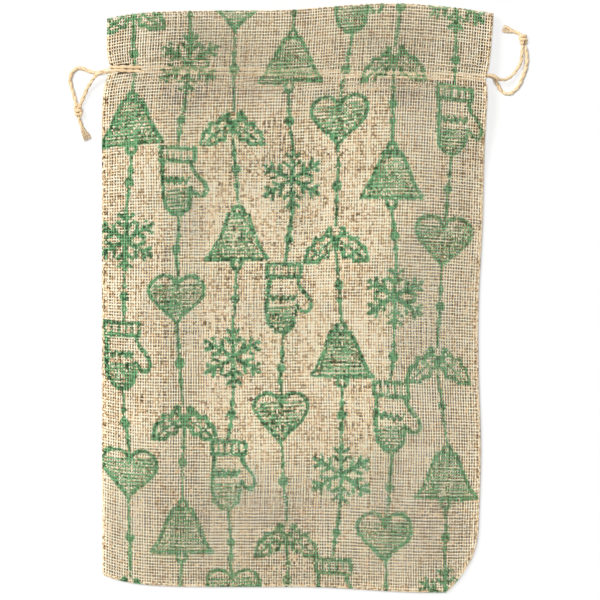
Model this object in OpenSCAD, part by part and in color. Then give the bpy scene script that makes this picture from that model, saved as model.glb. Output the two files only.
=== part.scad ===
// Drawstring gift sack of open jute cloth. It lies on its back with the mouth towards +Y and the front up.
// Millimetres, with the origin at the middle of the underside.

/* [Sack] */
// Width between the side seams
sack_w = 197; // [160:1:280]
// Length from the bottom seam to the fold at the mouth
sack_l = 303; // [240:1:420]
// Thickness of the woven cloth
cloth_t = 0.8; // [0.5:0.1:1.2]
// Clearance between layers of cloth that lie on each other
layer_gap = 0.1; // [0.05:0.05:0.3]
// Width of the seam allowance that is turned inside
seam_allowance = 8; // [5:1:12]
// Height of the front above the table in the middle of the sack
body_loft = 11; // [9:0.5:24]
// Distance over which the front rises from the bottom seam
bottom_rise_l = 60; // [40:5:100]

/* [Outline] */
// How far the right side leans out at the mouth
right_flare = 8; // [0:0.5:14]
// How far the cord draws the left side in at the mouth
left_draw = 3; // [0:0.5:8]
// Width of the slanted corner at the bottom right
corner_cut_w = 16; // [4:1:30]
// Length of the slanted corner at the bottom right
corner_cut_l = 35; // [15:1:60]
// How far the bottom seam dips towards the right
bottom_dip = 3; // [0:0.5:8]
// How far the bottom seam rises at the left corner
bottom_left_rise = 5.5; // [0:0.5:10]
// Height of the crest in the mouth's edge
top_crest = 3; // [0:0.5:8]
// Distance of that crest from the middle
top_crest_x = 50; // [0:5:70]
// How far the mouth's edge falls at the left corner
top_left_droop = 4; // [0:0.5:8]
// How far the mouth's edge falls at the right corner
top_right_droop = 2; // [0:0.5:8]

/* [Mouth and casing] */
// Height of the header, from the cord line to the fold
header_l = 33; // [25:1:50]
// Slope of the cord line, down towards the right, in degrees
casing_tilt = 1.3; // [0:0.1:3]
// Free height between the two casings
mouth_gap = 4.8; // [4.5:0.1:12]
// How far the header of the front falls for each millimetre towards the fold
header_fall = 0.07; // [0:0.01:0.1]
// Width of the turned-in cloth below the cord line
hem_lip = 8; // [7:0.5:14]
// Length of the open slit at the left, where the cords lie bare on the front
slit_l = 16.5; // [10:0.5:30]

/* [Cords] */
// Diameter of the drawstring
cord_d = 1.8; // [1.2:0.1:2.4]
// Distance between the two cords that share a casing
cord_pitch = 2.4; // [2.2:0.1:3.5]
// Clearance above and below a cord in its casing
cord_clear = 0.3; // [0.2:0.05:0.6]
// Clearance beside a cord in its casing
cord_side_gap = 0.8; // [0.4:0.1:1.5]
// Radius of a knot where it is widest
knot_r = 2.3; // [1.8:0.1:3]
// Length of a knot
knot_l = 6.6; // [5:0.2:9]

/* [Stitching] */
// Thickness of the sewing thread
thread_d = 0.5; // [0.3:0.1:0.8]
// Length of one stitch
stitch_l = 3; // [2:0.5:5]
// Distance from one stitch to the next
stitch_pitch = 8; // [6:1:16]
// Distance of the seam stitches from the edge
seam_stitch_in = 2.5; // [2:0.5:4]
// Distance of the hem stitches from the sides of the cord channel
hem_stitch_out = 2.2; // [1.8:0.1:3]
// How far a hem stitch stands out of the front
stitch_proud = 0.15; // [0.1:0.05:0.4]

/* [Hidden] */

JUTE = [0.78, 0.68, 0.50];
JUTE_SHADE = [0.66, 0.56, 0.40];
CORD = [0.86, 0.72, 0.50];
THREAD = [0.60, 0.50, 0.34];

// The box of the cloth is centred on the origin.
half_w = sack_w / 2;
body_shift = right_flare / 2;
bottom_line = bottom_dip - (sack_l + top_crest + bottom_dip) / 2;
fold_line = bottom_line + sack_l;
crest_w = 38;
dip_w = 70;
draw_l = 60;

// Heights of the layers at a side seam, from the table up.
back_rim_z = 2 * cloth_t + layer_gap;
front_rim_z = back_rim_z + layer_gap;
front_edge_z = front_rim_z + 2 * cloth_t + layer_gap;

// Heights at the cord line.
channel_h = cord_d + 2 * cord_clear;
channel_half = cord_pitch / 2 + cord_d / 2 + cord_side_gap;
channel_flank = 1.2;
flank_wall = 0.4;
hem_top = 4 * cloth_t + 2 * channel_h + mouth_gap;
back_cord_z = cloth_t + channel_h / 2;
front_cord_z = hem_top - cloth_t - channel_h / 2;
casing_y = fold_line - header_l;
header_start = channel_half + channel_flank + hem_stitch_out;
hem_level_from = hem_lip + 2;
hem_blend_l = 60;

// Each cord turns round the far side seam in a half circle.
turn_r = (front_cord_z - back_cord_z) / 2;
turn_reach = 1.2;
turn_x = half_w + turn_reach - turn_r - cord_d / 2;
flap_half = turn_x + 0.6;
left_exit_x = half_w - 0.5;
right_exit_x = half_w + 1.5;
fold_inset = 0.4;
far = 400;

// Grid of the front: columns across, rows up the body and rows in the hem.
columns = 20;
body_rows = 20;
hem_rows = 11;
hem_v = (casing_y - hem_level_from - 3 - bottom_line) / sack_l;
row_v = concat(
    [for (i = [0 : body_rows - 1]) hem_v * pow(i / body_rows, 1.3)],
    [for (i = [0 : hem_rows]) hem_v + (1 - hem_v) * i / hem_rows]
);

// Routes of the four free strands and the two tails, from the side of the sack to the knot.
left_front_route = [
    [-104, 119, 9.5], [-107, 116.5, 6.5], [-109.5, 113, 4.2], [-111.8, 109, 2.8], [-113.4, 105.2, 2.4],
    [-115, 101.5, 2.4]
];
left_back_route = [
    [-105.5, 118.8, 1.3], [-110, 120, 1], [-114, 121.8, 1], [-117.5, 121.4, 1], [-119.8, 118.5, 1],
    [-120.2, 114.5, 1], [-119, 110, 1.1], [-117.6, 105.5, 1.5], [-116.6, 101.5, 2]
];
left_tail_route = [[-115.8, 97, 2], [-115, 93.5, 1.2], [-113.5, 89.5, 1], [-111, 84.5, 1]];
left_knot_place = [-115.8, 99.1, knot_r + 0.1];
left_knot_turn = 10;
right_front_route = [
    [105.5, 115.4, 9.2], [109, 115, 6.4], [113, 117.4, 4.2], [116.4, 121.6, 2.8], [118.2, 126, 2.2],
    [118.6, 130.5, 2.2], [118.8, 134.4, 2.3]
];
right_back_route = [
    [104.6, 113.4, 1.2], [106.8, 109.8, 1], [110.2, 107.8, 1], [114.2, 109.2, 1], [117.2, 113, 1],
    [119.4, 118, 1], [120.8, 123, 1], [121.2, 128, 1.1], [120.2, 133, 1.8]
];
right_tail_route = [[118.6, 138.4, 2.2], [115.5, 140.6, 1.3], [112.5, 141.6, 1], [109, 142.5, 1]];
right_knot_place = [119.2, 136.6, knot_r + 0.1];
right_knot_turn = 187;

// Smooth step from 0 to 1, and a bell of height 1.
function ease(t) = let (k = min(1, max(0, t))) k * k * (3 - 2 * k);
function bell(t) = exp(-t * t);

// The four edges of the sack.
function left_x(y) = -half_w - body_shift + left_draw * ease((y - fold_line + draw_l) / draw_l);
function right_x(y) =
    half_w - body_shift
    + right_flare * pow(max(0, y) / fold_line, 1.5)
    - corner_cut_w * pow(max(0, bottom_line + corner_cut_l - y) / corner_cut_l, 1.8);
function bottom_y(x) =
    bottom_line - bottom_dip * ease(x / dip_w) + bottom_left_rise * pow(max(0, -x) / half_w, 5);
function top_y(x) =
    fold_line + top_crest * bell((x - top_crest_x) / crest_w)
    - top_left_droop * pow(max(0, -x) / half_w, 6)
    - top_right_droop * pow(max(0, x) / half_w, 6);

// Point of the cloth at u across (-1 to 1) and v up (0 to 1), drawn in from the three sewn edges.
function cloth_xy(u, v, inset = 0) =
    let (
        y_row = bottom_line + v * sack_l,
        x_left = left_x(y_row) + inset,
        x_right = right_x(y_row) - inset,
        x = x_left + (x_right - x_left) * (u + 1) / 2,
        y_low = bottom_y(x) + inset
    )
    [x, y_low + (top_y(x) - y_low) * v];

// Distance of a point above the cord line.
function above_cord(p) = p[0] * sin(casing_tilt) + (p[1] - casing_y) * cos(casing_tilt);

// Rounded rise from a sewn edge: 0 at t = 0, 1 at t = 1.
function swell(t) = let (k = 1 - min(1, max(0, t))) pow(1 - pow(k, 2.4), 1 / 2.4);

// Height of the front's upper face.
function front_z(u, v) =
    let (
        p = cloth_xy(u, v),
        s = above_cord(p),
        level = ease((s + hem_blend_l) / (hem_blend_l - hem_level_from)),
        swollen = swell(1 - abs(u)) * swell((p[1] - bottom_y(p[0])) / bottom_rise_l),
        body_z = front_edge_z + (body_loft - front_edge_z) * swollen,
        hem_z = hem_top - header_fall * max(0, s - header_start)
    )
    body_z + (hem_z - body_z) * level;

// Outline of the whole sack, and a band along its sewn edges up to v_end.
outline_steps = 24;
function side_points(u, v_end, inset) =
    [for (i = [0 : outline_steps]) cloth_xy(u, v_end * i / outline_steps, inset)];
function bottom_points(inset) =
    [for (i = [1 : outline_steps - 1]) cloth_xy(2 * i / outline_steps - 1, 0, inset)];
function top_points(inset) =
    [for (i = [1 : outline_steps - 1]) cloth_xy(2 * i / outline_steps - 1, 1) - [0, inset]];
function backwards(points) = [for (i = [len(points) - 1 : -1 : 0]) points[i]];
function outline(inset = 0) = concat(
    side_points(-1, 1, inset),
    top_points(inset),
    backwards(side_points(1, 1, inset)),
    backwards(bottom_points(inset))
);
function edge_path(v_end, inset) = concat(
    backwards(side_points(-1, v_end, inset)),
    bottom_points(inset),
    side_points(1, v_end, inset)
);
function edge_band(v_end, outer, inner) =
    concat(edge_path(v_end, outer), backwards(edge_path(v_end, inner)));

module layer(z_low, z_high) {
    translate([0, 0, z_low])
        linear_extrude(z_high - z_low)
            children();
}

// Frame of the casings: X along the cord line, Y up the header.
module in_casing() {
    translate([0, casing_y, 0])
        rotate([0, 0, -casing_tilt])
            children();
}
function casing_point(x, s, z) = [
    x * cos(casing_tilt) + s * sin(casing_tilt),
    casing_y - x * sin(casing_tilt) + s * cos(casing_tilt),
    z
];

// Gap in the side of the sack that the cords pass through.
module cord_gap(x_from, x_to, z_low, z_high) {
    in_casing()
        translate([x_from, -channel_half, z_low])
            cube([x_to - x_from, 2 * channel_half, z_high - z_low]);
}

// The front's cloth, with a rim that turns down to the back along the three sewn edges.
function front_skin(inset, drop) = [
    for (j = [0 : len(row_v)])
        for (i = [0 : columns + 2])
            let (
                u = 2 * min(columns, max(0, i - 1)) / columns - 1,
                v = row_v[max(0, j - 1)],
                on_rim = i == 0 || i == columns + 2 || j == 0
            )
            concat(cloth_xy(u, v, inset), on_rim ? front_rim_z : front_z(u, v) - drop)
];

module front_sheet() {
    row = columns + 3;
    top = len(row_v);
    outer = front_skin(0, 0);
    inner = front_skin(cloth_t, cloth_t);
    shift = len(outer);
    next = shift * [1, 1, 1];
    cells = [
        for (j = [0 : top - 1])
            for (i = [0 : columns + 1])
                if (j > 0 || (i > 0 && i <= columns))
                    [j * row + i, j * row + i + 1, (j + 1) * row + i + 1, (j + 1) * row + i]
    ];
    rim = concat(
        [for (j = [top : -1 : 1]) j * row],
        [for (i = [2 : columns]) i],
        [for (j = [1 : top]) j * row + row - 1]
    );
    mouth = [for (i = [row - 1 : -1 : 0]) top * row + i];
    border = concat(rim, [for (k = [1 : row - 2]) mouth[k]]);
    polyhedron(
        points = concat(outer, inner),
        faces = concat(
            [for (c = cells) each [[c[0], c[2], c[1]], [c[0], c[3], c[2]]]],
            [for (c = cells) each [[c[0], c[1], c[2]] + next, [c[0], c[2], c[3]] + next]],
            [
                for (k = [0 : len(border) - 1])
                    let (a = border[k], b = border[(k + 1) % len(border)])
                        each [[a, b, b + shift], [a, b + shift, a + shift]]
            ]
        )
    );
}

module front_panel() {
    color(JUTE)
        difference() {
            union() {
                front_sheet();
                layer(front_rim_z, front_rim_z + cloth_t)
                    polygon(edge_band(hem_v, cloth_t / 2, seam_allowance));
            }
            cord_gap(-far, slit_l - half_w, 0, far);
            cord_gap(flap_half, far, 0, hem_top - cloth_t);
        }
}

module back_panel() {
    color(JUTE_SHADE) {
        layer(0, cloth_t)
            polygon(outline());
        layer(cloth_t + layer_gap, back_rim_z)
            polygon(edge_band(hem_v, 0, seam_allowance));
        difference() {
            layer(cloth_t, back_rim_z)
                polygon(edge_band(1, 0, cloth_t));
            cord_gap(-far, -flap_half, cloth_t, far);
            cord_gap(flap_half, far, cloth_t, far);
        }
    }
}

// Turned-in cloth of a hem. It leaves a channel for the cords beside the panel's inner face at height base.
module casing_flap(base, side, fall) {
    header_end = header_l + top_crest + 2;
    hem_depth = layer_gap;
    flank = channel_half + channel_flank;
    near_face = [
        [header_end, hem_depth + fall * (header_end - header_start)], [header_start, hem_depth],
        [flank, hem_depth], [channel_half, channel_h], [-channel_half, channel_h], [-flank, hem_depth],
        [-hem_lip, hem_depth]
    ];
    widen = [0, 0, flank_wall, flank_wall, -flank_wall, -flank_wall, 0];
    far_face = [for (i = [0 : len(near_face) - 1]) near_face[i] + [widen[i], cloth_t]];
    section = concat(near_face, backwards(far_face));
    intersection() {
        in_casing()
            translate([-flap_half, 0, 0])
                rotate([90, 0, 90])
                    linear_extrude(2 * flap_half)
                        polygon([for (p = section) [p[0], base + side * p[1]]]);
        layer(0, hem_top)
            polygon(outline(fold_inset));
    }
}

module front_casing() {
    color(JUTE_SHADE)
        casing_flap(hem_top - cloth_t, -1, header_fall);
}

module back_casing() {
    color(JUTE)
        casing_flap(cloth_t, 1, 0);
}

// Two rows of stitches that hold a hem, one on each side of the cord channel.
module hem_stitches(z_low, z_high) {
    reach = flap_half - stitch_l;
    row_s = channel_half + channel_flank + hem_stitch_out / 2;
    color(THREAD)
        in_casing()
            for (s = [-row_s, row_s], x = [-reach : stitch_pitch : reach])
                translate([x - stitch_l / 2, s - thread_d / 2, z_low])
                    cube([stitch_l, thread_d, z_high - z_low]);
}

module front_hem_stitching() {
    hem_stitches(hem_top - 2 * cloth_t - layer_gap, hem_top + stitch_proud);
}

module back_hem_stitching() {
    hem_stitches(cloth_t / 2, back_rim_z + stitch_proud);
}

// Stitches along a seam, through the two allowances. Each place is [x, y, angle].
module seam_stitches(places) {
    color(THREAD)
        for (p = places)
            translate([p[0], p[1], back_rim_z - cloth_t / 2])
                rotate([0, 0, p[2]])
                    translate([-stitch_l / 2, -thread_d / 2, 0])
                        cube([stitch_l, thread_d, cloth_t + layer_gap]);
}
function seam_places(length, from) =
    let (count = floor(length / stitch_pitch))
    [
        for (i = [1 : count - 1])
            let (
                a = from(i / count - 0.002),
                b = from(i / count + 0.002),
                p = from(i / count)
            )
            [p[0], p[1], atan2(b[1] - a[1], b[0] - a[0])]
    ];

module left_seam_stitching() {
    seam_stitches(seam_places(hem_v * sack_l, function (t) cloth_xy(-1, t * hem_v, seam_stitch_in)));
}

module right_seam_stitching() {
    seam_stitches(seam_places(hem_v * sack_l, function (t) cloth_xy(1, t * hem_v, seam_stitch_in)));
}

module bottom_seam_stitching() {
    seam_stitches(seam_places(sack_w, function (t) cloth_xy(2 * t - 1, 0, seam_stitch_in)));
}

// A cord inside the casings: along the front, round the far seam and back. The exit lies at -exit_x.
module cord_run(exit_x, s) {
    for (z = [back_cord_z, front_cord_z])
        translate([-exit_x, s, z])
            rotate([0, 90, 0])
                cylinder(d = cord_d, h = exit_x + turn_x, $fn = 32);
    translate([turn_x, s, back_cord_z + turn_r])
        rotate([90, 90, 0])
            rotate_extrude(angle = 180, $fn = 48)
                translate([turn_r, 0])
                    circle(d = cord_d, $fn = 32);
}

// A tube of eight sides along a route of points.
tube_sides = 8;
function unit(v) = v / norm(v);
function route_ring(path, i) =
    let (
        ahead = unit(path[min(i + 1, len(path) - 1)] - path[max(i - 1, 0)]),
        sideways = unit(cross(ahead, [0, 0, 1])),
        upwards = cross(sideways, ahead)
    )
    [
        for (k = [0 : tube_sides - 1])
            let (angle = 360 * (k + 0.5) / tube_sides)
                path[i] + cord_d / 2 * (cos(angle) * sideways + sin(angle) * upwards)
    ];

module cord_tube(path) {
    last = (len(path) - 1) * tube_sides;
    polyhedron(
        points = [for (i = [0 : len(path) - 1]) each route_ring(path, i)],
        faces = concat(
            [
                for (i = [0 : len(path) - 2])
                    for (k = [0 : tube_sides - 1])
                        let (
                            a = i * tube_sides + k,
                            b = i * tube_sides + (k + 1) % tube_sides
                        )
                        each [[a, b, b + tube_sides], [a, b + tube_sides, a + tube_sides]]
            ],
            [[for (k = [tube_sides - 1 : -1 : 0]) k]],
            [[for (k = [0 : tube_sides - 1]) last + k]]
        )
    );
}

// A free strand leaves its casing straight and then follows its route.
straight_out = 3;
function strand(exit_x, s, z, route) = concat(
    [casing_point(exit_x, s, z), casing_point(exit_x + sign(exit_x) * straight_out, s, z)],
    route
);

// A knot has two bulges, one for each wrap. Its wide end takes the two strands.
knot_outline = [
    [0, -0.5], [0.66, -0.5], [0.96, -0.34], [1, -0.18], [0.88, 0],
    [1, 0.18], [0.96, 0.34], [0.8, 0.5], [0, 0.5]
];
module knot(place, turn) {
    color(CORD)
        translate(place)
            rotate([-90, 0, turn])
                rotate_extrude($fn = 32)
                    polygon([for (p = knot_outline) [p[0] * knot_r, p[1] * knot_l]]);
}

module left_cord_run() {
    color(CORD)
        in_casing()
            cord_run(left_exit_x, -cord_pitch / 2);
}

module left_cord_front() {
    color(CORD)
        cord_tube(strand(-left_exit_x, -cord_pitch / 2, front_cord_z, left_front_route));
}

module left_cord_back() {
    color(CORD)
        cord_tube(strand(-left_exit_x, -cord_pitch / 2, back_cord_z, left_back_route));
}

module left_knot() {
    knot(left_knot_place, left_knot_turn);
}

module left_tail() {
    color(CORD)
        cord_tube(left_tail_route);
}

module right_cord_run() {
    color(CORD)
        in_casing()
            mirror([1, 0, 0])
                cord_run(right_exit_x, cord_pitch / 2);
}

module right_cord_front() {
    color(CORD)
        cord_tube(strand(right_exit_x, cord_pitch / 2, front_cord_z, right_front_route));
}

module right_cord_back() {
    color(CORD)
        cord_tube(strand(right_exit_x, cord_pitch / 2, back_cord_z, right_back_route));
}

module right_knot() {
    knot(right_knot_place, right_knot_turn);
}

module right_tail() {
    color(CORD)
        cord_tube(right_tail_route);
}

front_panel();
back_panel();
front_casing();
back_casing();
front_hem_stitching();
back_hem_stitching();
left_seam_stitching();
right_seam_stitching();
bottom_seam_stitching();
left_cord_run();
left_cord_front();
left_cord_back();
left_knot();
left_tail();
right_cord_run();
right_cord_front();
right_cord_back();
right_knot();
right_tail();
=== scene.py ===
"""Looks of the drawstring gift sack: woven jute cloth with a green print, hemmed mouth and twisted cords."""
from math import ceil, copysign, cos, pi, radians, sin, sqrt

import bpy
import numpy as np
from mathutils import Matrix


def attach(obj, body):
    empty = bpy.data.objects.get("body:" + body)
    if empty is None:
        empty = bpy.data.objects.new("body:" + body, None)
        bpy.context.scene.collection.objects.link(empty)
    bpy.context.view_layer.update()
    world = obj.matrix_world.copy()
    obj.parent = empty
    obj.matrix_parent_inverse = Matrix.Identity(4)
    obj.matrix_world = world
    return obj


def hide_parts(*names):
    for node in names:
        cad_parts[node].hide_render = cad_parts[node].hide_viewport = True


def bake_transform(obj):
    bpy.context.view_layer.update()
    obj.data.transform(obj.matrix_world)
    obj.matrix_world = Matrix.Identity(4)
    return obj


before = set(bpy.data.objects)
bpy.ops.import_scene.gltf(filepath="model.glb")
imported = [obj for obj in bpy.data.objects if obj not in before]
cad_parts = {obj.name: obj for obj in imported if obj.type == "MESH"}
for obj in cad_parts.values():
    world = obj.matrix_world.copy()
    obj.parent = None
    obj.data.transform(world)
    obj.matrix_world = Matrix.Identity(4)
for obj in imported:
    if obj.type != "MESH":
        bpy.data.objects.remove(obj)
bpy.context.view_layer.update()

MM = 0.001

# Sizes of the part, in millimetres, as its source has them.
SACK_W, SACK_L, CLOTH_T, LAYER_GAP = 197.0, 303.0, 0.8, 0.1
BODY_LOFT, BOTTOM_RISE_L = 11.0, 60.0
RIGHT_FLARE, LEFT_DRAW, DRAW_L = 8.0, 3.0, 60.0
CORNER_CUT_W, CORNER_CUT_L = 16.0, 35.0
BOTTOM_DIP, DIP_W, BOTTOM_LEFT_RISE = 3.0, 70.0, 5.5
TOP_CREST, TOP_CREST_X, CREST_W = 3.0, 50.0, 38.0
TOP_LEFT_DROOP, TOP_RIGHT_DROOP = 4.0, 2.0
HEADER_L, MOUTH_GAP, HEADER_FALL, HEM_LIP, SLIT_L = 33.0, 4.8, 0.07, 8.0, 16.5
TILT = radians(1.3)
CORD_D, CORD_PITCH, CORD_CLEAR, CORD_SIDE_GAP = 1.8, 2.4, 0.3, 0.8
KNOT_R = 2.3
KNOT_Z = KNOT_R + 0.1
THREAD_D, SEAM_STITCH_IN, HEM_STITCH_OUT = 0.5, 2.5, 2.2

HALF_W = SACK_W / 2
BODY_SHIFT = RIGHT_FLARE / 2
BOTTOM_LINE = BOTTOM_DIP - (SACK_L + TOP_CREST + BOTTOM_DIP) / 2
FOLD_LINE = BOTTOM_LINE + SACK_L
BACK_RIM_Z = 2 * CLOTH_T + LAYER_GAP
FRONT_RIM_Z = BACK_RIM_Z + LAYER_GAP
FRONT_EDGE_Z = FRONT_RIM_Z + 2 * CLOTH_T + LAYER_GAP
CHANNEL_H = CORD_D + 2 * CORD_CLEAR
CHANNEL_HALF = CORD_PITCH / 2 + CORD_D / 2 + CORD_SIDE_GAP
CHANNEL_FLANK = 1.2
HEM_TOP = 4 * CLOTH_T + 2 * CHANNEL_H + MOUTH_GAP
BACK_CORD_Z = CLOTH_T + CHANNEL_H / 2
FRONT_CORD_Z = HEM_TOP - CLOTH_T - CHANNEL_H / 2
CASING_Y = FOLD_LINE - HEADER_L
HEADER_START = CHANNEL_HALF + CHANNEL_FLANK + HEM_STITCH_OUT
HEM_LEVEL_FROM, HEM_BLEND_L = HEM_LIP + 2, 60.0
TURN_R = (FRONT_CORD_Z - BACK_CORD_Z) / 2
TURN_X = HALF_W + 1.2 - TURN_R - CORD_D / 2
FLAP_HALF = TURN_X + 0.6
LEFT_EXIT_X, RIGHT_EXIT_X = HALF_W - 0.5, HALF_W + 1.5
HEM_V = (CASING_Y - HEM_LEVEL_FROM - 3 - BOTTOM_LINE) / SACK_L


# Noise and curves

def ease(t):
    k = np.clip(t, 0, 1)
    return k * k * (3 - 2 * k)


def hump(t):
    """1 at t = 0, falling off to both sides."""
    return np.exp(-(t**2))


def lattice(seed, i, j):
    """A fixed random number from -1 to 1 for each whole pair i, j."""
    h = (i.astype(np.int64) * 374761393 + j.astype(np.int64) * 668265263 + seed * 974634521) & 0xFFFFFFFF
    h = ((h ^ (h >> 13)) * 1274126177) & 0xFFFFFFFF
    return ((h ^ (h >> 16)) & 0xFFFF) / 32767.5 - 1


def noise(seed, a, b=0.0):
    """Smooth noise from -1 to 1, with one bump to a unit of a and b."""
    a, b = np.broadcast_arrays(np.asarray(a, float), np.asarray(b, float))
    i, j = np.floor(a), np.floor(b)
    s, t = ease(a - i), ease(b - j)
    low = lattice(seed, i, j) * (1 - s) + lattice(seed, i + 1, j) * s
    high = lattice(seed, i, j + 1) * (1 - s) + lattice(seed, i + 1, j + 1) * s
    return low * (1 - t) + high * t


def unit(v):
    return v / np.maximum(np.linalg.norm(v, axis=-1, keepdims=True), 1e-9)


def turned(a, b, angle):
    """Direction at an angle from a towards b."""
    angle = np.asarray(angle)[..., None]
    return a * np.cos(angle) + b * np.sin(angle)


def run_of(path):
    """Way along a path at each of its points."""
    return np.concatenate([[0], np.cumsum(np.linalg.norm(np.diff(path, axis=0), axis=1))])


def smooth_path(points, step):
    """Even steps along a smooth curve through the points."""
    p = np.array(points, float)
    p = np.vstack([2 * p[0] - p[1], p, 2 * p[-1] - p[-2]])
    t = np.linspace(0, 1, 24, endpoint=False)[:, None]
    curve = []
    for a, b, c, d in zip(p[:-3], p[1:-2], p[2:-1], p[3:]):
        curve.append(0.5 * (2 * b + (c - a) * t + (2 * a - 5 * b + 4 * c - d) * t**2
                            + (3 * b - a - 3 * c + d) * t**3))
    curve = np.vstack(curve + [p[-2:-1]])
    run = run_of(curve)
    at = np.linspace(0, run[-1], max(2, round(run[-1] / step) + 1))
    return np.stack([np.interp(at, run, curve[:, k]) for k in range(3)], axis=1)


def rounded(path, passes):
    """The path with its tight bends eased."""
    for _ in range(passes):
        path = np.vstack([path[:1], (path[:-2] + 2 * path[1:-1] + path[2:]) / 4, path[-1:]])
    return path


# The shape of the sack, as its source has it, with the edges drawn in a little more where the cords leave

LEFT_NOTCH, RIGHT_NOTCH, NOTCH_L = 2.4, 0.9, 7.0
RIGHT_SLACK = ((1.5, -78.0, 32.0), (1.2, 40.0, 35.0))  # how far out, at which y, over what length
LEFT_RISE_SHARE = 0.85
TOP_STEP, TOP_STEP_X, TOP_STEP_W = 0.8, 30.0, 40.0
SWELL, CROWN = 2.4, 1.35  # powers that shape the loft


def left_x(y):
    return -HALF_W - BODY_SHIFT + LEFT_DRAW * ease((y - FOLD_LINE + DRAW_L) / DRAW_L)


def right_x(y):
    slack = sum(far * hump((y - at) / long) for far, at, long in RIGHT_SLACK)
    return HALF_W - BODY_SHIFT + RIGHT_FLARE * (np.maximum(0, y) / FOLD_LINE) ** 1.5 + slack


def bottom_y(x):
    rise = LEFT_RISE_SHARE * BOTTOM_LEFT_RISE * (np.maximum(0, -x) / HALF_W) ** 7
    return BOTTOM_LINE - BOTTOM_DIP * ease(x / DIP_W) + rise


def top_y(x):
    crest = TOP_CREST * hump((x - TOP_CREST_X) / CREST_W)
    return (FOLD_LINE - TOP_STEP * ease((TOP_STEP_X - x) / TOP_STEP_W) + crest
            - TOP_LEFT_DROOP * (np.maximum(0, -x) / HALF_W) ** 6
            - TOP_RIGHT_DROOP * (np.maximum(0, x) / HALF_W) ** 6)


def cloth_xy(u, v):
    y_row = BOTTOM_LINE + v * SACK_L
    x = left_x(y_row) + (right_x(y_row) - left_x(y_row)) * (u + 1) / 2
    low = bottom_y(x)
    y = low + (top_y(x) - low) * v
    drawn_in = hump(above_cord(x, y) / NOTCH_L) * np.abs(u) ** 5
    return x - np.where(u < 0, -LEFT_NOTCH, RIGHT_NOTCH) * drawn_in, y


def above_cord(x, y):
    return x * sin(TILT) + (y - CASING_Y) * cos(TILT)


def along_cord(x, y):
    return x * cos(TILT) - (y - CASING_Y) * sin(TILT)


def casing_point(x, s, z):
    return (x * cos(TILT) + s * sin(TILT), CASING_Y - x * sin(TILT) + s * cos(TILT), z)


def swell(t):
    k = 1 - np.clip(t, 0, 1)
    return (1 - k**SWELL) ** (1 / SWELL)


def hem_level(s):
    return ease((s + HEM_BLEND_L) / (HEM_BLEND_L - HEM_LEVEL_FROM))


def front_top_z(out, x, y):
    s = above_cord(x, y)
    rise = swell(1 - out) * swell((y - bottom_y(x)) / BOTTOM_RISE_L)
    body = FRONT_EDGE_Z + (BODY_LOFT - FRONT_EDGE_Z) * rise**CROWN
    hem = HEM_TOP - HEADER_FALL * np.maximum(0, s - HEADER_START)
    return body + (hem - body) * hem_level(s)


def cord_bulge(s):
    """How far a turned-in hem stands off its panel beside the cords."""
    share = np.clip((CHANNEL_HALF + CHANNEL_FLANK - np.abs(s)) / CHANNEL_FLANK, 0, 1)
    return (CHANNEL_H - LAYER_GAP) * share


# Layers of cloth. Each takes flat cloth coordinates, c across from the middle and r up from the bottom seam.

SKIRT = 4.5         # flat width that turns down at a side seam
BOTTOM_SKIRT = 2.7  # and at the bottom seam
FOLD = 1.4          # and at the mouth
ROLL_OUT, ROLL_R = 0.42, 0.45
FRONT_BULGE, BACK_BULGE = 0.3, 0.2
EDGE_FADE = 12.0
WAVES, PLEATS, FOLDS, SAG = 0.7, 0.55, 0.8, 2.6


def corner_cut(r):
    """How far the edge is folded under at the lower right corner. Yarns run straight into the fold."""
    return CORNER_CUT_W * (np.maximum(0, CORNER_CUT_L - np.maximum(0, r)) / CORNER_CUT_L) ** 2.3


def from_middle(c, r):
    """Distance from the middle, on a scale where the side edge is at HALF_W in each row."""
    return np.where(c > 0, c + corner_cut(r), -c)


def panel_xy(c, r):
    """Place of flat cloth seen from above. What lies past an edge is put on that edge."""
    u = np.clip(c, -HALF_W, HALF_W - corner_cut(r)) / HALF_W
    return cloth_xy(u, np.clip(r / SACK_L, 0, 1))


def ripples(c, r):
    """Slack: a sagging middle, broad waves and folds, and pleats that deepen near the mouth."""
    body = ease((SACK_L - HEADER_L - 14 - r) / 70)
    sag = ease((HALF_W - np.abs(c)) / 60) * ease(r / 70) * body * (1 + 0.4 * noise(34, c / 55, r / 75))
    folds = noise(35, (c + 0.35 * r) / 24, (r - 0.35 * c) / 95) * ease(r / 30) * body
    pleats = noise(31, c / 6.5 + 3 * noise(32, r / 45), r / 90) * ease((r - 130) / 110)
    near_cord = hump((r - (SACK_L - HEADER_L)) / 9)
    return (WAVES * noise(33, c / 42, r / 55) + PLEATS * pleats * (1 - 0.7 * near_cord) + FOLDS * folds
            - SAG * sag)


def with_edges(p, c, r, skirt, rim_z, bulge, way):
    """A face with its seam edges turned to rim_z and inside, and its mouth rolled down at -1 or up at 1."""
    side, low = np.maximum(0, from_middle(c, r) - HALF_W), np.maximum(0, -r)
    for axis, outward, past, width in ((0, np.sign(c), side, skirt), (1, -1, low, BOTTOM_SKIRT)):
        t = np.minimum(1, past / width)
        p[..., axis] += outward * (bulge * np.sin(pi * t) - np.maximum(0, past - width))
        p[..., 2] += (rim_z - p[..., 2]) * ease(t)
    turn = pi * np.minimum(1, np.maximum(0, r - SACK_L) / FOLD)
    p[..., 1] += ROLL_OUT * np.sin(turn)
    p[..., 2] += way * ROLL_R * (1 - np.cos(turn))
    return p


def front_face(c, r):
    x, y = panel_xy(c, r)
    out = from_middle(c, r)
    edge_fade = ease((HALF_W - out) / EDGE_FADE) * ease(r / EDGE_FADE)
    z = front_top_z(np.minimum(1, out / HALF_W), x, y) - CLOTH_T / 2 + edge_fade * ripples(c, r)
    return with_edges(np.stack([x, y, z], axis=-1), c, r, SKIRT, FRONT_RIM_Z + CLOTH_T / 2, FRONT_BULGE, -1)


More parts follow.
